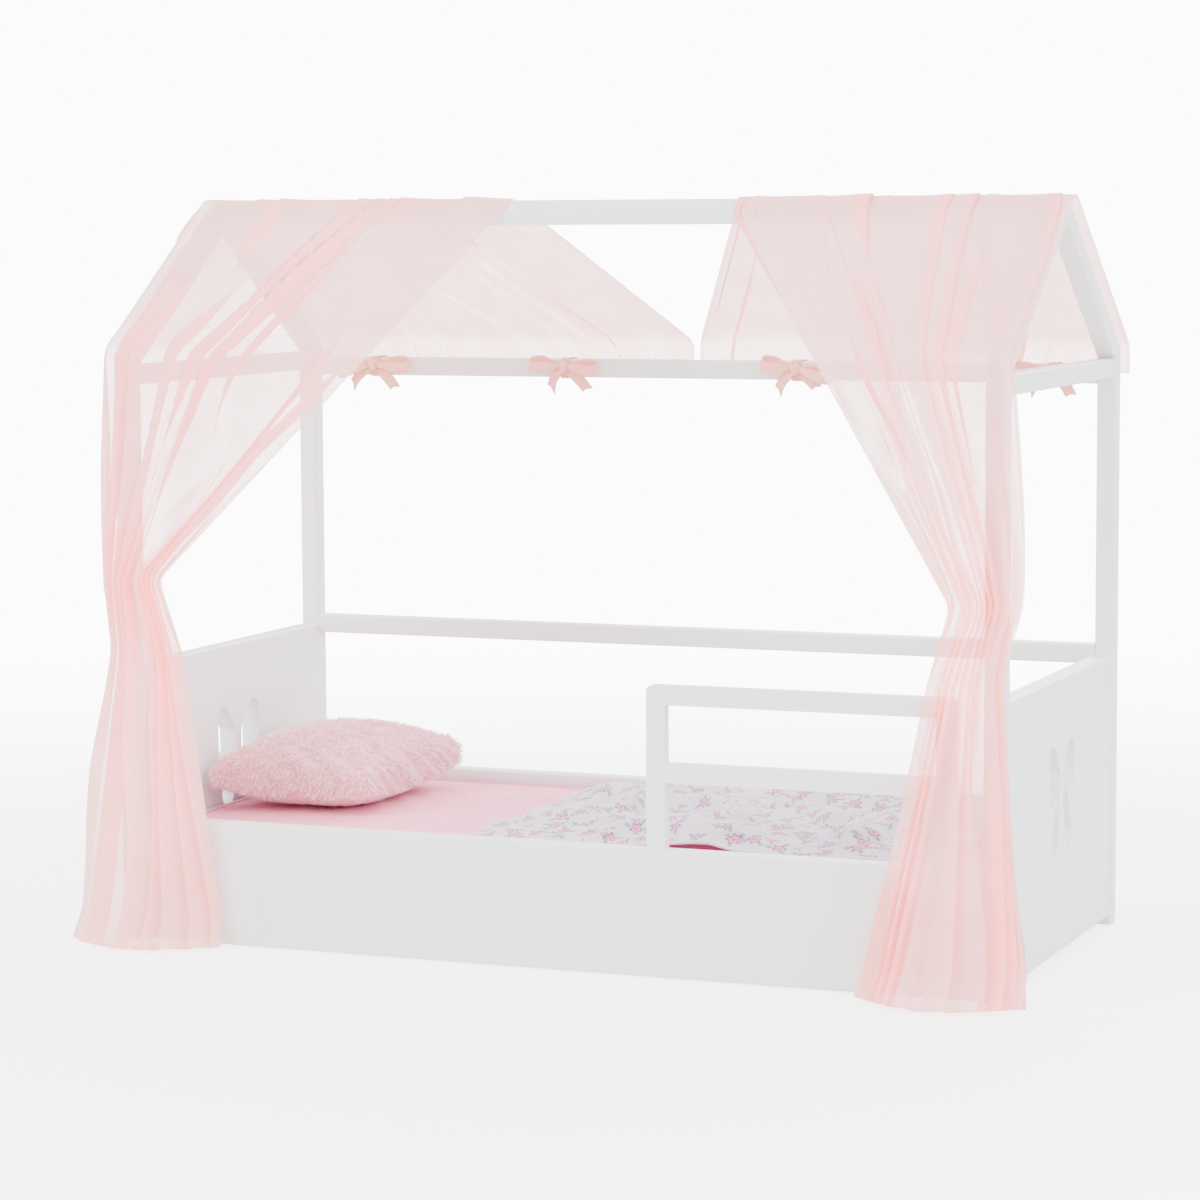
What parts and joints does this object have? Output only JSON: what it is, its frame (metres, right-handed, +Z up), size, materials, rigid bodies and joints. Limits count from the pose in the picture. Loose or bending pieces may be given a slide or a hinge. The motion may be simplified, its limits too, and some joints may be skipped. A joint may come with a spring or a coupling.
{
  "type": "doll's canopy bed",
  "caption": "House-frame doll's bed with a gabled roof, tulle canopy tied back at the front posts, bow cut-outs in the ends, lift-off guard rail, mattress, fur pillow and printed blanket.",
  "frame": {"origin": "on the floor, in the middle of the whole footprint, canopy hem included", "axes": "+X along the bed from the pillow end to the foot end, +Y from the open front to the back, +Z up"},
  "size_m": [0.6126, 0.3054, 0.4554],
  "materials": {
    "white_paint": "satin white paint over smooth timber and board",
    "dowel_wood": "bare beech, unfinished",
    "screw_steel": "zinc plated",
    "mattress_cover": "plain woven pink cotton over foam",
    "pillow_fur": "short pink plush fur",
    "blanket_print": "white cotton printed with small pink roses, pink lining",
    "tulle": "sheer pale pink tulle mesh",
    "ribbon": "matt salmon-pink woven ribbon"
  },
  "bodies": {
    "frame": {"post_front_left": "white_paint", "post_front_right": "white_paint", "post_back_left": "white_paint", "post_back_right": "white_paint", "rafter_front_left": "white_paint", "rafter_front_right": "white_paint", "rafter_back_left": "white_paint", "rafter_back_right": "white_paint", "tie_beam_left": "white_paint", "tie_beam_right": "white_paint", "ridge_beam": "white_paint", "back_eave_beam": "white_paint", "back_rail": "white_paint", "end_panel_head": "white_paint", "end_panel_foot": "white_paint", "front_panel": "white_paint", "back_panel": "white_paint", "batten_front": "white_paint", "batten_back": "white_paint", "base_board": "white_paint", "panel_dowels": "dowel_wood", "beam_dowels": "dowel_wood", "mitre_dowels": "dowel_wood", "batten_screws": "screw_steel", "board_screws": "screw_steel", "canopy_left": "tulle", "canopy_right": "tulle", "bow_far_left": "ribbon", "bow_left": "ribbon", "bow_right": "ribbon", "bow_far_right": "ribbon"},
    "guard_rail": {"guard_upright_left": "white_paint", "guard_upright_right": "white_paint", "guard_top_bar": "white_paint", "guard_middle_bar": "white_paint", "guard_dowels": "dowel_wood"},
    "mattress": {"mattress": "mattress_cover"},
    "pillow": {"pillow": "pillow_fur"},
    "blanket": {"blanket": "blanket_print"}
  },
  "joints": [
    {"name": "guard_lift", "type": "slide", "parent": "frame", "child": "guard_rail", "axis": [0, 0, 1], "range_m": [0, 0.014]},
    {"name": "mattress_lift", "type": "slide", "parent": "frame", "child": "mattress", "axis": [0, 0, 1], "range_m": [0, 0.06]},
    {"name": "pillow_lift", "type": "slide", "parent": "mattress", "child": "pillow", "axis": [0, 0, 1], "range_m": [0, 0.08]},
    {"name": "blanket_lift", "type": "slide", "parent": "mattress", "child": "blanket", "axis": [0, 0, 1], "range_m": [0, 0.08]}
  ]
}
